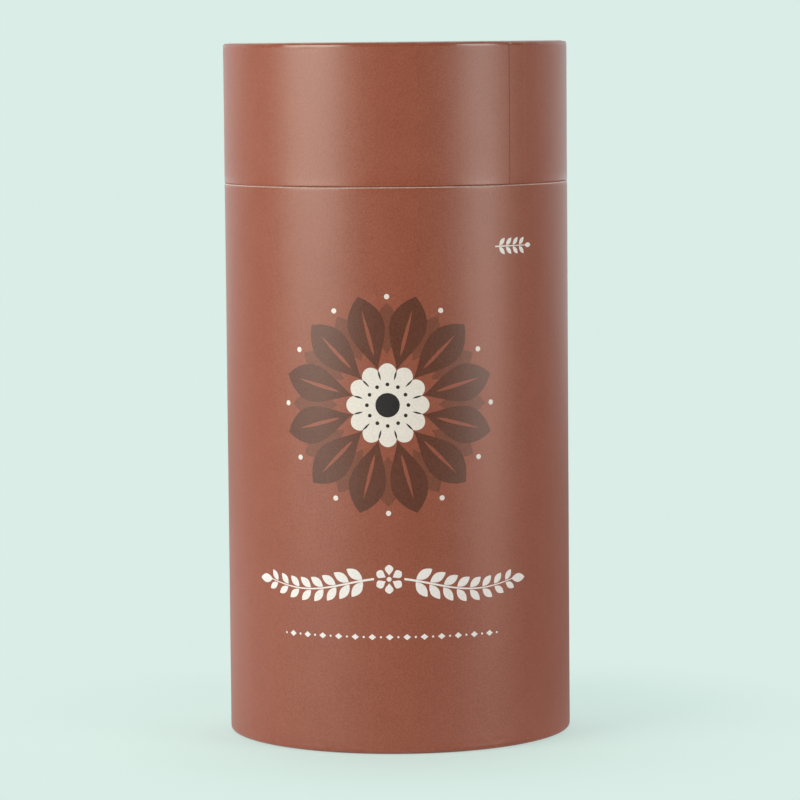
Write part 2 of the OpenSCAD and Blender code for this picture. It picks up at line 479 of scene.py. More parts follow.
# Relief: the gathers' waves, per radian round the tube and in height, the dents they press into the
# tabs' fold, the crease past it, and how far and in what waves the paper dips where it is slack
GATHER_WAVES = 11
GATHER_H = 5 * MM
DENT = 0.07 * MM
DENT_W = 1.6 * MM
DENT_BIAS = 0.4
CREASE = 0.08 * MM
CREASE_W = 1.1 * MM
CREASE_BIAS = 0.45
CREASE_AT = 2.45
SLACK = 0.04 * MM
SLACK_RAMP = 12 * MM
SLACK_WAVES = 2.6
SLACK_PER_M = 22

# Wear: the rim turns in over these shares of its fold, the tabs' fold wears where it gathers, and a
# nick slants off the end of the seam
TURN_START = 0.1
TURN_RAMP = 0.4
FOLD_WEAR = 0.16
FOLD_WEAR_AT = 0.3
FOLD_WEAR_BIAS = 0.1
NICK_WEAR = 0.8
NICK_AT = 0.4
NICK_SLANT = 0.8
WEAR_W = 0.5 * MM

# Painted shade: along the seam, next to the base's cover sheet, and under the lid's rim, most of all
# on the stretch, in degrees round the front, where it stands a hair open
SEAM_SHADE = 0.75
SHEET_SHADE = 0.7
SHEET_SHADE_TOP = 0.35
SHEET_SHADE_RAMP = 0.25
CLOSED_SHADE = 0.3
OPEN_MID_DEG = -2.0
OPEN_HALF_DEG = 43.0
OPEN_RAMP_DEG = 8

# Polish: how far round the front, and how much, hands have rubbed the fold, the rim and the lid's foot
HANDLED_DEG = 65.0
HANDLED_RAMP_DEG = 15
UNHANDLED = 0.25
POLISH_START = 0.5
POLISH_RAMP = 0.25
POLISH_PAST_FOLD = 0.9 * MM
POLISH_END_RAMP = 0.6 * MM
RIM_POLISH = 0.4
RIM_POLISH_H = 1.0 * MM
RIM_POLISH_RAMP = 0.5 * MM
RIM_POLISH_END = 0.3
RUBBED = 0.4
RUBBED_H = 6 * MM


def wrap_section(wrap):
    """A wrap's section from its tab end round to its lip end and back, and the notched point count."""
    fold_r, lip_r = wrap.fold_r, wrap.lip_r
    fold_end = OUTER_R - fold_r
    rim = wrap.height - RIM_FOLD_R
    lip_end = wrap.height - LIP_LEN
    back_r, lip_back_r = WRAP_R - WRAP_T, lip_r + WRAP_T
    fold_c = (WRAP_R - fold_r, fold_r)
    rim_c = (WRAP_R - RIM_FOLD_R, rim)
    lip_c = (lip_r + RIM_FOLD_R, rim)
    tabs = line((fold_end - TAB_LEN, 0), (fold_end - NOTCH_KEEP, 0), TAB_STEP)
    face = joined(
        tabs,
        arc(fold_c, fold_r, -90, 0),
        line((WRAP_R, fold_r), (WRAP_R, fold_r + GATHERED_H), GATHERED_STEP),
        line((WRAP_R, fold_r + GATHERED_H), (WRAP_R, rim - FINE_RIM_H), WALL_STEP),
        line((WRAP_R, rim - FINE_RIM_H), (WRAP_R, rim), FINE_RIM_STEP),
        arc(rim_c, RIM_FOLD_R, 0, 90),
        arc(lip_c, RIM_FOLD_R, 90, 180),
        line((lip_r, rim), (lip_r, lip_end), LIP_STEP),
    )
    back = joined(
        line((lip_back_r, lip_end), (lip_back_r, rim), LIP_STEP),
        arc(lip_c, RIM_FOLD_R - WRAP_T, 180, 90),
        arc(rim_c, RIM_FOLD_R - WRAP_T, 90, 0),
        line((back_r, rim), (back_r, fold_r), 2 * WALL_STEP),
        arc(fold_c, fold_r - WRAP_T, 0, -90),
        [(r, WRAP_T) for r, z in reversed(tabs)],
    )
    return face, back, len(tabs) - 1


def wrap_columns(wrap):
    """Plan angles of a wrap's columns, even but for its seam's and its notches', and which are notches."""
    notches = [(i + 0.5) * TAB_W for i in range(TAB_COUNT)]
    even = [a + TAB_W * k / TAB_COLUMNS for a in notches for k in range(1, TAB_COLUMNS)]
    angles = with_extra(even, seam_angles(front_angle(wrap.seam_deg), OUTER_R, WRAP_OVERLAP))
    angles = np.array(sorted(np.concatenate((angles, notches))))
    is_notch = np.array([min(abs(a - n) for n in notches) < 1e-9 for a in angles])
    return angles, is_notch


def notched_plan(section, notched, open_rows, angles, is_notch):
    """Plan angle of every vertex. Each notch has one more column, used where the notch is open."""
    lips = angles[is_notch]
    tab = (np.cumsum(is_notch) - 1) % TAB_COUNT
    share = np.concatenate(((angles - lips[tab]) % FULL_TURN / TAB_W, np.ones(TAB_COUNT)))
    owner = np.concatenate((tab, (np.arange(TAB_COUNT) - 1) % TAB_COUNT))
    plan = np.repeat(np.concatenate((angles, lips))[None, :], len(section), 0)
    end_r, point_r = section[0, 0], section[notched, 0]
    for row in open_rows:
        r = section[row, 0]
        half = NOTCH_W / 2 * (point_r - r) / (point_r - end_r) / r
        plan[row] = lips[owner] + half + share * (TAB_W - 2 * half)
    return plan


def wrap_grid(wrap):
    """A wrap's vertices without their relief, rows along the section by columns round the tube."""
    face, back, notched = wrap_section(wrap)
    section = np.array(face + back)
    rows = len(section)
    angles, is_notch = wrap_columns(wrap)
    open_rows = list(range(notched)) + list(range(rows - notched, rows))
    plan = notched_plan(section, notched, open_rows, angles, is_notch)
    r, z = spread(section, plan.shape[1])
    on_face = np.arange(rows)[:, None] < len(face)
    from_rim = z - wrap.height + RIM_FOLD_R
    past_rim = np.clip(from_rim / RIM_FOLD_R, 0, 1)
    seam = front_angle(wrap.seam_deg)
    return SimpleNamespace(
        angles=angles, lips=np.flatnonzero(is_notch), notched=notched, open_rows=open_rows,
        face_rows=len(face), seam=seam, plan=plan, r=r, z=z, on_face=on_face, from_rim=from_rim,
        before_rim=past_rim < RIM_POLISH_END,
        turned_in=smooth((past_rim - TURN_START) / TURN_RAMP),
        wall=on_face & (r > WRAP_R - wrap.fold_r) & (z > 0),
        along=from_seam(plan, seam, OUTER_R),
        front=np.abs(np.degrees(from_seam(plan, front_angle(OPEN_MID_DEG), 1.0))),
        gathers=wavy(np.cos(plan) * GATHER_WAVES, np.sin(plan) * GATHER_WAVES, z / GATHER_H, wrap.seed),
        level=wrap.tabs_z - z if wrap.is_lid else wrap.tabs_z + z,
    )


def undulation(plan, z, seed):
    """How far the paper dips where it isn't quite tight on the board."""
    return SLACK * (1 + wavy(np.cos(plan) * SLACK_WAVES, np.sin(plan) * SLACK_WAVES, z * SLACK_PER_M, seed))


def wrap_relief(wrap, g):
    """How far a wrap's wall stands out: its doubled seam and gathers, less its crease and its slack."""
    fade = seam_fade(g.z, wrap.height, RIM_FOLD_R) * smooth(g.z / (wrap.fold_r * SEAM_FADE))
    rise = overlap_lift(g.along, WRAP_OVERLAP, OVERLAP_RISE) * fade
    dents = DENT * bell(g.z, wrap.fold_r, DENT_W) * (g.gathers - DENT_BIAS)
    crease = CREASE * bell(g.z, wrap.fold_r * CREASE_AT, CREASE_W) * np.clip(CREASE_BIAS + g.gathers, 0, 1)
    slack = smooth((g.z - wrap.fold_r * 2) / SLACK_RAMP) * smooth(-g.from_rim / SLACK_RAMP)
    slack = slack * undulation(g.plan, g.level, wrap.seed)
    return np.where(g.wall, rise + dents - crease - slack, 0)


def wrap_wear(wrap, g):
    """Where the print is worn pale: on the rim, on the tabs' fold and in a nick at the seam."""
    rim = wrap.rim_wear * g.turned_in
    worn = np.clip(g.gathers + FOLD_WEAR_BIAS, 0, 1)
    fold = FOLD_WEAR * bell(g.z, wrap.fold_r * FOLD_WEAR_AT, WEAR_W) * worn
    slant = (g.z - wrap.fold_r * NICK_AT) * NICK_SLANT
    nick = NICK_WEAR * bell(g.along, slant, WEAR_W) * (g.z > 0) * (g.z < wrap.fold_r)
    return np.where(g.on_face, np.maximum(np.maximum(rim, fold), nick), 0)


def wrap_shade(wrap, g):
    """Painted shade on a wrap: by its seam's cut edge, under the lid's rim and by the cover sheet."""
    by_seam = g.wall & (g.along < 0) & (g.along > -SEAM_SHADE_W)
    seam = np.where(by_seam, SEAM_SHADE * smooth(1 + g.along / SEAM_SHADE_W), 0)
    opened = smooth((OPEN_HALF_DEG - g.front) / OPEN_RAMP_DEG)
    shade = wrap.rim_shade * g.turned_in * (CLOSED_SHADE + (1 - CLOSED_SHADE) * opened)
    if not wrap.is_lid:
        near_sheet = (SHEET_SHADE_TOP * wrap.fold_r - g.z) / (SHEET_SHADE_RAMP * wrap.fold_r)
        shade = np.maximum(shade, SHEET_SHADE * smooth(near_sheet))
    return np.maximum(seam, np.where(g.on_face, shade, 0))


def wrap_polish(wrap, g):
    """Where the matt film is rubbed: the tabs' fold, most of all in front, the rim and the lid's foot."""
    past_tabs = smooth((g.z - POLISH_START * wrap.fold_r) / (POLISH_RAMP * wrap.fold_r))
    before_wall = smooth((wrap.fold_r + POLISH_PAST_FOLD - g.z) / POLISH_END_RAMP)
    handled = UNHANDLED + (1 - UNHANDLED) * smooth((HANDLED_DEG - g.front) / HANDLED_RAMP_DEG)
    rim = RIM_POLISH * smooth((g.from_rim + RIM_POLISH_H) / RIM_POLISH_RAMP) * g.before_rim
    polish = np.maximum(past_tabs * before_wall * handled, rim)
    if wrap.is_lid:
        polish = np.maximum(polish, RUBBED * smooth(g.from_rim / RUBBED_H + 1) * g.before_rim)
    return np.where(g.on_face, polish, 0)


def wrap_faces(g):
    """A wrap's faces, materials (0 print, 1 cut edge, 2 seam edge in painted shade) and used vertices."""
    rows, cols = len(g.plan), len(g.angles)
    used = np.ones(g.plan.shape, dtype=bool)
    used[:, cols:] = False
    used[g.open_rows, cols:] = True
    number = np.cumsum(used.ravel()).reshape(used.shape) - 1

    # Open notches keep their own right lips, closed rows share the next column
    cell = number[:, :cols]
    right = np.roll(cell, -1, axis=1)
    last = (g.lips - 1) % cols
    for row in g.open_rows:
        right[row, last] = number[row, cols:]
    quads = np.stack((cell, right, np.roll(right, -1, 0), np.roll(cell, -1, 0)), axis=2).reshape(-1, 4)
    walls = []
    for row in range(g.notched):
        corners = (row, row + 1, rows - 2 - row, rows - 1 - row)
        for side, columns in ((cell, g.lips), (right, last)):
            walls += np.stack([side[corner, columns] for corner in corners], 1).tolist()

    material = np.zeros((rows, cols), dtype=int)
    material[g.face_rows - 1:] = 1
    # The seam's cut edge takes the brown of painted shade
    edge_column = int(np.argmin(np.abs(from_seam(g.angles, g.seam, OUTER_R) + CUT_W / 2)))
    material[g.notched + FOLD_STEPS // 2:g.face_rows - 1, edge_column] = 2
    return quads.tolist() + walls, material.ravel().tolist() + [1] * len(walls), used


def make_wrap(wrap):
    """A whole printed wrap: notched tabs, gathered fold, overlap seam with its cut edge, turned-in rim."""
    g = wrap_grid(wrap)
    points = turned_points(g.r + wrap_relief(wrap, g), g.plan, g.level)
    faces, face_material, used = wrap_faces(g)
    values = {
        "fold_wear": wrap_wear(wrap, g)[used],
        # Painted shade along the seam, under the lid's rim and next to the cover sheet
        "edge_shade": wrap_shade(wrap, g)[used],
        "fold_polish": wrap_polish(wrap, g)[used],
    }
    add_piece(
        wrap.piece, wrap.body, wrap.node, points[used], faces,
        [wrap.paper, CUT_EDGE, SHADED_SEAM_EDGE], face_material, values,
    )


# Cover sheets: their eased edge, their rings inside and over the tabs, and how they sink inside the
# tabs, over the notches and, in cloudy patches, all over
SHEET_EASE = 0.05 * MM
SHEET_SINK = 0.12 * MM
INNER_RINGS = 7
INNER_RING_SHARE = 0.1
TAB_RINGS_FROM = 0.75
TAB_RING_STEP = 1.6 * MM
EDGE_ROOM = 1 * MM
SINK_START = 1 * MM
SINK_RAMP = 4 * MM
VALLEY_SHARE = 0.5
VALLEY_W = 0.4 * MM
VALLEY_SPREAD = 1.5 * MM
VALLEY_RAMP = 2 * MM
CLOUD_SHARE = 0.12
CLOUD_PER_M = 60


def sheet_depth(r, a, radius, sink, seed):
    """How deep a sheet sinks: inside the ends of the tabs, over their notches, and a little all over."""
    tab_end = OUTER_R - TOP_FOLD_R - TAB_LEN
    reach = np.clip((radius - r) / TAB_LEN, 0, 1)
    off_notch = np.abs((a % TAB_W) - TAB_W / 2) * r
    valley = bell(off_notch, 0, VALLEY_W + reach * VALLEY_SPREAD) * smooth((radius - r) / VALLEY_RAMP)
    valley = valley * (r > tab_end - SINK_START)
    inside_tabs = smooth((tab_end + SINK_START - r) / SINK_RAMP)
    cloud = 1 + wavy(r * np.cos(a) * CLOUD_PER_M, r * np.sin(a) * CLOUD_PER_M, 0, seed)
    return sink * (inside_tabs + VALLEY_SHARE * valley + CLOUD_SHARE * cloud)


def make_sheet(name, node, body, paper, outer_up, sink, seed):
    """A round sheet: it sinks a little inside the tabs, and their notches show faintly through it."""
    low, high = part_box(node)
    radius, z_low, z_high = high[0], low[2], high[2]
    radii = [radius * INNER_RING_SHARE * i for i in range(1, INNER_RINGS + 1)]
    radii += list(np.arange(radius * TAB_RINGS_FROM, radius - EDGE_ROOM, TAB_RING_STEP))
    radii.append(radius - SHEET_EASE)
    section = [(q, z_high) for q in radii]
    section += [(radius, z_high - SHEET_EASE), (radius, z_low + SHEET_EASE)]
    section += [(q, z_low) for q in reversed(radii)]
    rows, cols = len(section), EVEN_COLUMNS
    a = np.repeat((np.arange(cols) * FULL_TURN / cols)[None, :], rows, 0)
    r, z = spread(np.array(section), cols)
    side = -1 if outer_up else 1
    z = z + side * sheet_depth(r, a, radius, sink, seed)
    points = turned_points(r, a, z).reshape(-1, 3).tolist()
    faces, material = [], []
    for i in range(rows - 1):
        for j in range(cols):
            k = (j + 1) % cols
            faces.append((i * cols + j, i * cols + k, (i + 1) * cols + k, (i + 1) * cols + j))
            material.append(1 if i == len(radii) else 0)
    for centre_z, ring in ((z_high, 0), (z_low, rows - 1)):
        centre = len(points)
        points.append((0, 0, centre_z + side * sink * (1 + CLOUD_SHARE)))
        for j in range(cols):
            faces.append((centre, ring * cols + j, ring * cols + (j + 1) % cols))
            material.append(0)
    edge = paper if paper is LINING else CUT_EDGE
    add_piece(name, body, node, points, faces, [paper, edge], material)


def ring_faces(rows, cols):
    """Faces of a closed section turned all round."""
    number = np.arange(rows * cols).reshape(rows, cols)
    right, up = np.roll(number, -1, 1), np.roll(number, -1, 0)
    return np.stack((number, right, np.roll(right, -1, 0), up), axis=2).reshape(-1, 4)


def neck_section():
    """Section of the neck's paper from its foot over the fold to its lip end and back."""
    fold_z = NECK_TOP_Z - NECK_FOLD_R
    outer_c = (NECK_R - NECK_FOLD_R, fold_z)
    inner_c = (NECK_LIP_R + NECK_FOLD_R, fold_z)
    lip_end = NECK_TOP_Z - NECK_LIP_LEN
    back_r, lip_back_r = NECK_R - LINING_T, NECK_LIP_R + LINING_T
    face = joined(
        line((NECK_R, NECK_FOOT_Z), (NECK_R, fold_z), NECK_STEP),
        arc(outer_c, NECK_FOLD_R, 0, 90),
        arc(inner_c, NECK_FOLD_R, 90, 180),
        line((NECK_LIP_R, fold_z), (NECK_LIP_R, lip_end), LIP_STEP),
    )
    back = joined(
        line((lip_back_r, lip_end), (lip_back_r, fold_z), LIP_STEP),
        arc(inner_c, NECK_FOLD_R - LINING_T, 180, 90),
        arc(outer_c, NECK_FOLD_R - LINING_T, 90, 0),
        line((back_r, fold_z), (back_r, NECK_FOOT_Z), NECK_BACK_STEP),
    )
    return face, back


def make_neck_paper():
    """Pale paper round the neck, with its overlap seam, turned over the neck's top and down inside."""
    face, back = neck_section()
    rows = len(face) + len(back)
    seam = front_angle(NECK_SEAM_DEG)
    even = np.arange(EVEN_COLUMNS) * FULL_TURN / EVEN_COLUMNS
    angles = with_extra(even, seam_angles(seam, NECK_R, NECK_OVERLAP))
    a = np.repeat(angles[None, :], rows, 0)
    r, z = spread(np.array(face + back), len(angles))
    wall = (np.arange(rows)[:, None] < len(face)) & (r > NECK_R - NECK_FOLD_R)
    lift = overlap_lift(from_seam(a, seam, NECK_R), NECK_OVERLAP, NECK_RISE)
    r = r + np.where(wall, lift * seam_fade(z, NECK_TOP_Z, NECK_FOLD_R), 0)
    points = turned_points(r, a, z).reshape(-1, 3)
    faces = ring_faces(rows, len(angles))
    add_piece("neck_paper", "base", "neck_wrap", points, faces, [LINING])


# Waves of a lining, per radian round the tube and per metre along it
LINING_WAVES = 3
LINING_PER_M = 12


def make_lining(name, node, body, waviness, seed):
    """A lining rolled into the tube until its cut edges almost meet."""
    low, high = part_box(node)
    radius, z_low, z_high = high[0], low[2], high[2]
    outer = line((radius, z_low), (radius, z_high), WALL_STEP)
    inner = [(radius - LINING_T, z) for r, z in reversed(outer)]
    section = np.array(outer + inner)
    rows, cols = len(section), EVEN_COLUMNS
    gap = BUTT_GAP / radius
    start = front_angle(LINING_SEAM_DEG) + gap / 2
    a = np.repeat((start + np.linspace(0, FULL_TURN - gap, cols))[None, :], rows, 0)
    r, z = spread(section, cols)
    wave = wavy(np.cos(a) * LINING_WAVES, np.sin(a) * LINING_WAVES, z * LINING_PER_M, seed)
    points = turned_points(r - waviness * (1 + wave), a, z).reshape(-1, 3)
    number = np.arange(rows * cols).reshape(rows, cols)
    up = np.roll(number, -1, 0)
    faces = np.stack((number[:, :-1], number[:, 1:], up[:, 1:], up[:, :-1]), axis=2).reshape(-1, 4).tolist()
    for col in (0, cols - 1):
        for i in range(rows // 2 - 1):
            faces.append([number[row, col] for row in (i, i + 1, rows - 2 - i, rows - 1 - i)])
    add_piece(name, body, node, points, faces, [LINING])


make_wrap(BASE_WRAP)
make_wrap(LID_WRAP)
make_sheet("base_cover_sheet", "base_sheet", "base", PRINTED_BASE, False, SHEET_SINK, 1.5)
make_sheet("lid_cover_sheet", "lid_sheet", "lid", PRINTED, True, SHEET_SINK, 2.5)
make_sheet("floor_paper", "floor_sheet", "base", LINING, False, 0.0, 4.5)
make_sheet("ceiling_paper", "ceiling_sheet", "lid", LINING, True, 0.0, 5.5)
make_neck_paper()
make_lining("tube_lining_paper", "base_lining", "base", 0.03 * MM, 6.5)
make_lining("lid_lining_paper", "lid_lining", "lid", 0.02 * MM, 8.5)

for board in ("base_tube", "base_disc", "neck_tube", "lid_tube", "lid_disc"):
    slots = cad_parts[board].data.materials
    slots.clear()
    slots.append(BOARD)

# Print: its place in degrees to the right of the front, the films of ink and their triangles. Its
# sizes are plan millimetres on the unrolled wrap, across from the print's middle and up from the foot
PRINT_DEG = -3.3
INK_DEPTH = 0.02 * MM
FIRST_INK = 0.010 * MM
INK_STEP = 0.008 * MM
GRID_S = 1.5
GRID_Z = 3.0
EDGE_STEP = 1.5


def inside(polygon, points):
    """Which points lie inside a polygon."""
    x, y = points[:, 0], points[:, 1]
    result = np.zeros(len(points), dtype=bool)
    for (x1, y1), (x2, y2) in zip(polygon, np.roll(polygon, -1, 0)):
        crosses = (y1 > y) != (y2 > y)
        with np.errstate(divide="ignore", invalid="ignore"):
            result ^= crosses & (x < (x2 - x1) * (y - y1) / (y2 - y1) + x1)
    return result


def edge_distance(polygon, points):
    """Distance of each point from a polygon's outline."""
    best = np.full(len(points), np.inf)
    for p, q in zip(polygon, np.roll(polygon, -1, 0)):
        d = q - p
        t = np.clip(((points - p) @ d) / max(d @ d, 1e-12), 0, 1)
        best = np.minimum(best, np.hypot(*(points - p - t[:, None] * d).T))
    return best


def filled(polygon):
    """Triangles of a polygon, fine enough to follow the tube's curve."""
    outline = []
    for p, q in zip(polygon, np.roll(polygon, -1, 0)):
        count = max(1, math.ceil(math.dist(p, q) / EDGE_STEP))
        outline += [p + (q - p) * i / count for i in range(count)]
    outline = np.array(outline)
    low, high = outline.min(0), outline.max(0)
    s, z = np.meshgrid(np.arange(low[0], high[0], GRID_S), np.arange(low[1], high[1], GRID_Z))
    grid = np.column_stack((s.ravel(), z.ravel()))
    grid = grid[inside(outline, grid)] if len(grid) else grid
    grid = grid[edge_distance(outline, grid) > EDGE_STEP / 3] if len(grid) else grid
    points = [Vector(p) for p in np.vstack((outline, grid))]
    ring = list(range(len(outline)))
    flat, _, faces, *_ = geometry.delaunay_2d_cdt(points, [], [ring], 1, 1e-5)
    return [tuple(p) for p in flat], [tuple(f) for f in faces]


def film_faces(triangles, start, count):
    """Faces of a closed film from its triangles: front, back and the wall round its edge."""
    faces, edges = [], {}
    for t in triangles:
        faces.append(tuple(start + i for i in t))
        faces.append(tuple(start + count + i for i in reversed(t)))
        for p, q in zip(t, t[1:] + t[:1]):
            edges[(p, q)] = True
    for p, q in edges:
        if (q, p) not in edges:
            faces.append((start + q, start + p, start + count + p, start + count + q))
    return faces


def add_ink(name, polygons, colour, layer):
    """Printed shapes as one piece of thin closed films that follow the wrap's face."""
    points, faces = [], []
    for polygon in polygons:
        flat, triangles = filled(np.array(polygon, dtype=float))
        faces += film_faces(triangles, len(points), len(flat))
        s, z = np.array(flat).T * MM
        a = front_angle(PRINT_DEG) + s / OUTER_R
        for offset in (FIRST_INK + layer * INK_STEP, -INK_DEPTH):
            radius = WRAP_R + offset - undulation(a, z, BASE_WRAP.seed)
            points += np.column_stack((radius * np.cos(a), radius * np.sin(a), z)).tolist()
    ink = laminated_paper(name + "_ink", colour, folds=False)
    add_piece(name, "base", None, points, faces, [ink])


def turned(points, angle, centre):
    """Points turned about the origin by an angle in degrees and moved to a centre."""
    c, s = math.cos(math.radians(angle)), math.sin(math.radians(angle))
    return [(centre[0] + x * c - y * s, centre[1] + x * s + y * c) for x, y in points]


def leaf(near, far, half_width, belly=0.5):
    """A pointed leaf along +X from near to far, widest at the share belly of its length."""
    steps = 14
    power = math.log(0.5) / math.log(belly)
    upper = []
    for i in range(steps + 1):
        t = i / steps
        upper.append((near + (far - near) * t, half_width * math.sin(math.pi * t ** power) ** 0.85))
    return upper + [(x, -y) for x, y in reversed(upper[1:-1])]


def dot(radius, centre, steps):
    """A round dot."""
    angles = [FULL_TURN * i / steps for i in range(steps)]
    return [(centre[0] + radius * math.cos(a), centre[1] + radius * math.sin(a)) for a in angles]


# Flower: its middle, its petals and the scalloped outline of its heart
ROSETTE_AT = (0, 173)
PETALS = 12
PETAL_TURN = 360 / PETALS
HEART_R = 17.2
SCALLOP = 3.4
SCALLOP_ROUND = 0.7
SCALLOP_STEPS = 14


def rosette_ring(shape, first):
    """A shape once for each petal, the first one turned by a number of petals."""
    return [turned(shape, PETAL_TURN * (i + first), ROSETTE_AT) for i in range(PETALS)]


def scalloped_heart():
    """The outline of the flower's heart, with a lobe before each petal."""
    steps = PETALS * SCALLOP_STEPS
    outline = []
    for i in range(steps):
        a = FULL_TURN * i / steps
        r = HEART_R + SCALLOP * abs(math.cos(a * PETALS / 2)) ** SCALLOP_ROUND
        outline.append((ROSETTE_AT[0] + r * math.cos(a), ROSETTE_AT[1] + r * math.sin(a)))
    return outline


def print_rosette():
    """A round flower of broad dark petals with a pale heart."""
    heart_marks = [dot(6.0, ROSETTE_AT, 40)]
    heart_marks += rosette_ring(dot(0.95, (10.2, 0), 12), 0)
    heart_marks += rosette_ring(leaf(12.6, 17.6, 0.45), 0.5)
    add_ink("print_outer_petals", rosette_ring(leaf(25, 50, 6.2, 0.55), 1), MID_BROWN, 0)
    add_ink("print_petals", rosette_ring(leaf(18, 55, 9.2, 0.6), 0.5), DARK_BROWN, 1)
    add_ink("print_petal_veins", rosette_ring(leaf(25, 48, 0.9, 0.4), 0.5), TERRACOTTA, 2)
    add_ink("print_heart", [scalloped_heart()], CREAM_INK, 2)
    add_ink("print_heart_marks", heart_marks, INK_BLACK, 3)
    add_ink("print_tip_dots", rosette_ring(dot(1.3, (53.2, 0), 16), 1), CREAM_INK, 2)


# Garland: its waving stem, with half the stem's width at the middle, its leaves and its small flower
GARLAND_Z = 84.5
GARLAND_WAVE = 3.2
GARLAND_START = 7.5
GARLAND_END = 66
GARLAND_STEM = 0.55
STEM_TAPER = 0.6
LEAF_PAIRS = 8
LEAF_START = 12.5
LEAF_PITCH = 6.9
LEAF_SHRINK = 0.045
LEAF_SPREAD_DEG = 42
FLOWER_PETALS = 6


def garland_line(s):
    """Height of the garland's stem at a distance from its middle."""
    return GARLAND_Z + GARLAND_WAVE * math.cos(s / GARLAND_END * math.pi * 1.5)


def garland_stem(side):
    """The tapering stem of the garland's left or right branch."""
    steps = 40
    start, end = side * GARLAND_START, side * GARLAND_END
    upper, lower = [], []
    for i in range(steps + 1):
        s = start + (end - start) * i / steps
        w = GARLAND_STEM * (1 - STEM_TAPER * i / steps)
        upper.append((s, garland_line(s) + w))
        lower.append((s, garland_line(s) - w))
    return upper + lower[::-1]


def print_garland():
    """Two mirrored leafy branches that meet at a small flower."""
    shapes = []
    for side in (-1, 1):
        shapes.append(garland_stem(side))
        for i in range(LEAF_PAIRS):
            s = side * (LEAF_START + LEAF_PITCH * i)
            foot = (s, garland_line(s))
            slope = math.degrees(math.atan2(garland_line(s + side) - garland_line(s), 1))
            heading = slope if side > 0 else 180 - slope
            size = 1 - LEAF_SHRINK * i
            one_leaf = leaf(1.0, 10.4 * size, 2.35 * size)
            for over in (-1, 1):
                shapes.append(turned(one_leaf, heading + over * side * LEAF_SPREAD_DEG, foot))
        tip = (side * 65.4, garland_line(GARLAND_END))
        shapes.append(turned(leaf(0, 9, 2.2), 0 if side > 0 else 180, tip))
    middle = (0, garland_line(0) - 0.5)
    petal_turn = 360 / FLOWER_PETALS
    petal = leaf(1.9, 7.2, 2.1, 0.62)
    shapes += [turned(petal, petal_turn * i + petal_turn / 2, middle) for i in range(FLOWER_PETALS)]
    shapes.append(dot(1.2, middle, 16))
    add_ink("print_garland", shapes, WHITE_INK, 1)


# Beading: its height, its pitch and its lozenges
BEADING_Z = 58.5
BEAD_PITCH = 4.3
BEADS_EACH_SIDE = 13
LOZENGE_HALF_W = 1.9
LOZENGE_HALF_H = 1.5


def print_beading():
    """A fine line of lozenges and dots."""
    low, high = BEADING_Z - LOZENGE_HALF_H, BEADING_Z + LOZENGE_HALF_H
    shapes = []
    for i in range(-BEADS_EACH_SIDE, BEADS_EACH_SIDE + 1):
        s = i * BEAD_PITCH
        if i % 2 == 0:
            left, right = (s - LOZENGE_HALF_W, BEADING_Z), (s + LOZENGE_HALF_W, BEADING_Z)
            shapes.append([left, (s, low), right, (s, high)])
        else:
            shapes.append(dot(0.55, (s, BEADING_Z), 12))
    add_ink("print_beading", shapes, WHITE_INK, 1)


# Sprig: where its stem starts, the stem's length, and its leaves
SPRIG_AT = (56.5, 249.5)
SPRIG_LEN = 20
SPRIG_PAIRS = 4
SPRIG_PITCH = 4.3
SPRIG_SPREAD_DEG = 48


def print_sprig():
    """A small leafy sprig to the right, over the flower."""
    s, z = SPRIG_AT
    end = s + SPRIG_LEN
    shapes = [[(s, z - 0.35), (end, z - 0.2), (end, z + 0.2), (s, z + 0.35)]]
    for i in range(SPRIG_PAIRS):
        for over in (-1, 1):
            foot = (s + 2.2 + SPRIG_PITCH * i, z)
            shapes.append(turned(leaf(0.5, 5.4, 1.15), over * SPRIG_SPREAD_DEG, foot))
    shapes.append(turned(leaf(0, 4.4, 1.2), 0, (s + 19.5, z)))
    add_ink("print_sprig", shapes, WHITE_INK, 1)


print_rosette()
print_garland()
print_beading()
print_sprig()


def add_softbox(name, azimuth, height, distance, width, tall, watts, colour, aim_z):
    """A softbox at an azimuth in degrees to the right of the camera's side, aimed at the axis."""
    data = bpy.data.lights.new(name, "AREA")
    data.shape = "RECTANGLE"
    data.size = width
    data.size_y = tall
    data.energy = watts
    data.color = colour
    light = bpy.data.objects.new(name, data)
    a = front_angle(azimuth)
    light.location = (distance * math.cos(a), distance * math.sin(a), height)
    aim = Vector((0, 0, aim_z)) - light.location
    light.rotation_euler = aim.to_track_quat("-Z", "Y").to_euler()
    bpy.context.collection.objects.link(light)


def light_scene():
    """Softboxes left and right of the camera, a low warm card on the right, and one high behind."""
    add_softbox(
        "softbox_left", azimuth=-55, height=0.53, distance=1.3, width=0.95, tall=0.66,
        watts=18.2, colour=(0.99, 0.975, 0.87), aim_z=0.53,
    )
    add_softbox(
        "softbox_right", azimuth=56, height=0.53, distance=1.4, width=0.62, tall=0.66,
        watts=9.5, colour=(0.92, 1.0, 0.94), aim_z=0.53,
    )
    add_softbox(
        "card_right", azimuth=62, height=0.10, distance=1.2, width=0.5, tall=0.19,
        watts=2.8, colour=(1.0, 0.72, 0.62), aim_z=0.10,
    )
    add_softbox(
        "overhead", azimuth=180, height=1.6, distance=0.6, width=0.9, tall=0.9,
        watts=4, colour=(1.0, 1.0, 1.0), aim_z=0.35,
    )


# The room that the object sees: dim towards the camera, and bright behind the object
ROOM_COLOUR = (0.82, 0.97, 1.0)
FRONT_GLOW = 0.06
BACK_GLOW = 1.3
FRONT_END = -0.2
BACK_START = 0.9


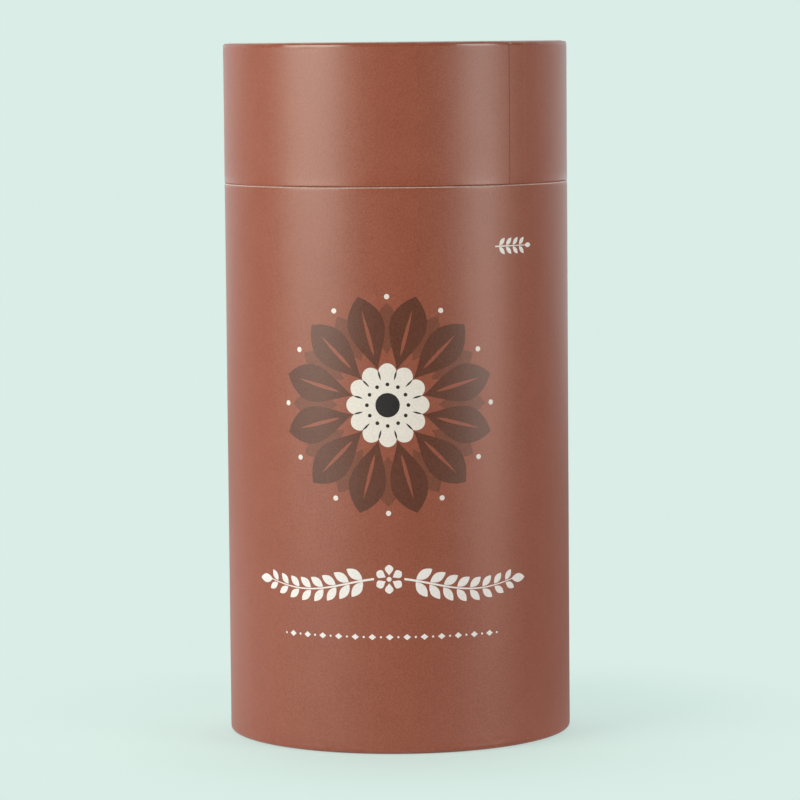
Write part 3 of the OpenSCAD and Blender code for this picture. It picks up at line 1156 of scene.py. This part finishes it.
def make_world():
    """A bright backdrop behind the object and a dim room in front; the camera sees plain mint."""
    world = bpy.data.worlds.new("studio")
    bpy.context.scene.world = world
    n = Nodes(world, "ShaderNodeOutputWorld")
    plain = n.add("ShaderNodeBackground", Color=(*MINT, 1))
    towards = n.add("ShaderNodeSeparateXYZ", Vector=n.add("ShaderNodeTexCoord").outputs["Generated"])
    strength = n.ramp(towards.outputs["Y"], FRONT_END, BACK_START, FRONT_GLOW, BACK_GLOW)
    room = n.add("ShaderNodeBackground", Color=(*ROOM_COLOUR, 1), Strength=strength)
    path = n.add("ShaderNodeLightPath")
    n.set(n.out, "Surface", n.blend(path.outputs["Is Camera Ray"], room, plain).outputs[0])


# Floor: its rings in metres, and the shadow that the camera sees round the object
FLOOR_RINGS = (0.05, 0.1, 0.2, 0.4, 0.8, 1.6, 3.0, 6.0)
FLOOR_COLUMNS = 96
FLOOR_DROP = 0.2 * MM
SHADOW_IN = 0.10
SHADOW_OUT = 0.26
SHADOW_TINT = 0.42
NEAR_GLOW = 0.62

# What the object sees of it: a lit table, brighter on the left, and the foot of the backdrop
GLOW_COLOUR = (1.0, 0.96, 0.96)
GLOW_LEFT = 0.86
GLOW_RIGHT = 0.27
GLOW_TURN = 0.3
TABLE_IN = 0.8
TABLE_OUT = 1.5
BACK_IN = 2.5
BACK_OUT = 0.9


def floor_material():
    """Shadow and mint for the camera, lit table and backdrop for the object."""
    n = Nodes(bpy.data.materials.new("floor"))
    place = n.place()
    length = n.add("ShaderNodeVectorMath")
    length.operation = "LENGTH"
    n.set(length, 0, place)
    distance = length.outputs["Value"]
    shaded = n.add("ShaderNodeAddShader")
    shadow_catcher = n.add("ShaderNodeBsdfDiffuse", Color=(*scaled(MINT, SHADOW_TINT), 1))
    n.set(shaded, 0, shadow_catcher.outputs[0])
    n.set(shaded, 1, n.glow(MINT, NEAR_GLOW).outputs[0])
    for_camera = n.blend(n.ramp(distance, SHADOW_OUT, SHADOW_IN), n.glow(MINT), shaded)
    split = n.add("ShaderNodeSeparateXYZ", Vector=place)
    strength = n.ramp(split.outputs["X"], GLOW_TURN, -GLOW_TURN, GLOW_RIGHT, GLOW_LEFT)
    strength = n.math("MULTIPLY", strength, n.ramp(distance, TABLE_OUT, TABLE_IN))
    table = n.glow(GLOW_COLOUR, strength)
    backdrop = n.glow(ROOM_COLOUR, BACK_GLOW)
    for_object = n.blend(n.ramp(split.outputs["Y"], BACK_OUT, BACK_IN), table, backdrop)
    path = n.add("ShaderNodeLightPath")
    n.set(n.out, "Surface", n.blend(path.outputs["Is Camera Ray"], for_object, for_camera).outputs[0])
    return n.owner


def make_floor():
    """A pale floor that keeps the shadow near the object and melts into the background."""
    columns = FLOOR_COLUMNS
    vertices = [(0, 0, -FLOOR_DROP)]
    for ring in FLOOR_RINGS:
        for j in range(columns):
            a = FULL_TURN * j / columns
            vertices.append((ring * math.cos(a), ring * math.sin(a), -FLOOR_DROP))
    faces = [(0, 1 + j, 1 + (j + 1) % columns) for j in range(columns)]
    for i in range(len(FLOOR_RINGS) - 1):
        low, high = 1 + i * columns, 1 + (i + 1) * columns
        for j in range(columns):
            k = (j + 1) % columns
            faces.append((low + j, high + j, high + k, low + k))
    mesh = bpy.data.meshes.new("floor")
    mesh.from_pydata(vertices, [], faces)
    mesh.materials.append(floor_material())
    floor = bpy.data.objects.new("floor", mesh)
    bpy.context.collection.objects.link(floor)


light_scene()
make_world()
make_floor()
bpy.context.scene.view_settings.view_transform = "Standard"
